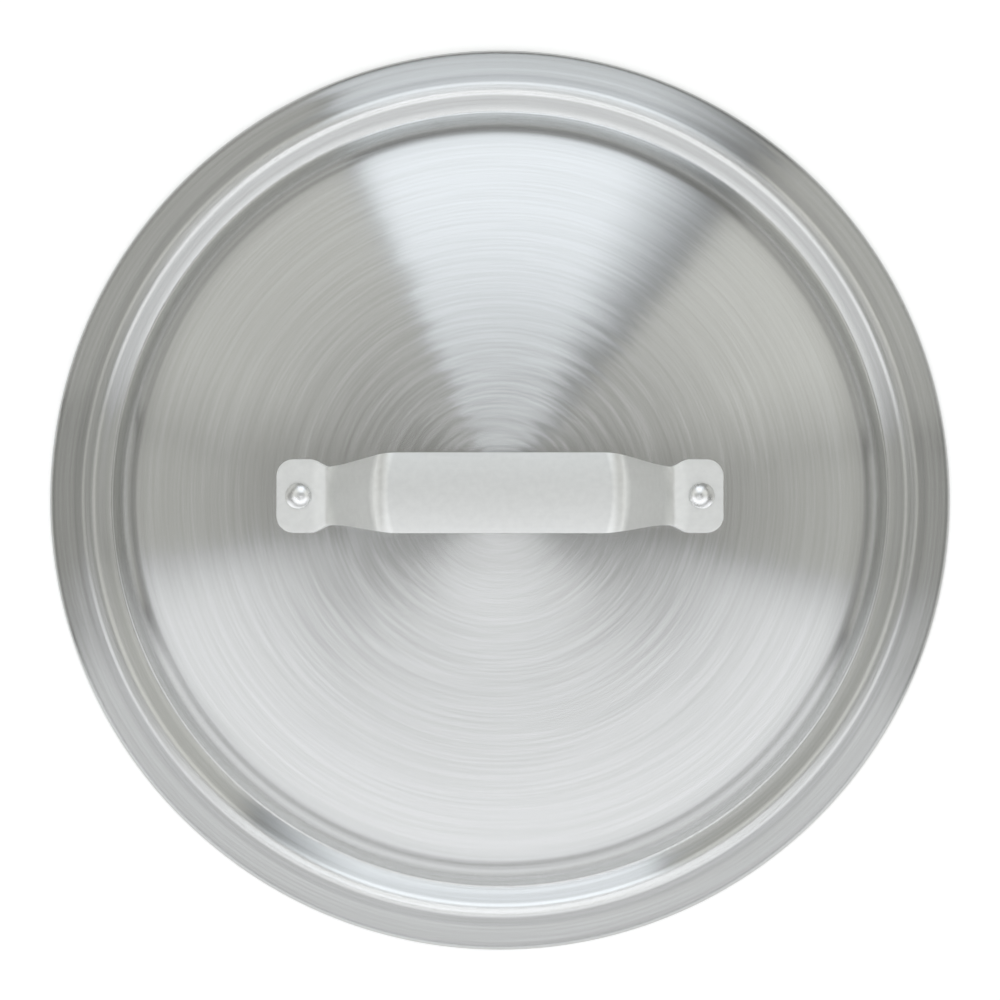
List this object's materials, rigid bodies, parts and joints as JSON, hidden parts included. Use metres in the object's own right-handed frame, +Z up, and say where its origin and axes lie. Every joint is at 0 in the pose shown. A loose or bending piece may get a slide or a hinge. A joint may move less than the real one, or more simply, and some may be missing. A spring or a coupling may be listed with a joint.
{
  "type": "kettle cover",
  "caption": "Round domed cover for a brewing kettle, spun from aluminium sheet with a stepped rim, and a pressed strap handle fixed by a solid rivet at each end.",
  "frame": {"origin": "on the cover's axis, level with the lower edge of its turned-down lip", "axes": "+Z up along the cover's axis, through the crown of the dome; +X along the handle, from one rivet to the other"},
  "size_m": [0.324, 0.324, 0.06],
  "materials": {
    "spun_aluminium": "brushed in circles",
    "pressed_aluminium": "satin, tumbled",
    "rivet_aluminium": "bright"
  },
  "bodies": {
    "root": {"cover": "spun_aluminium", "handle": "pressed_aluminium", "rivet_left": "rivet_aluminium", "rivet_right": "rivet_aluminium"}
  },
  "joints": []
}
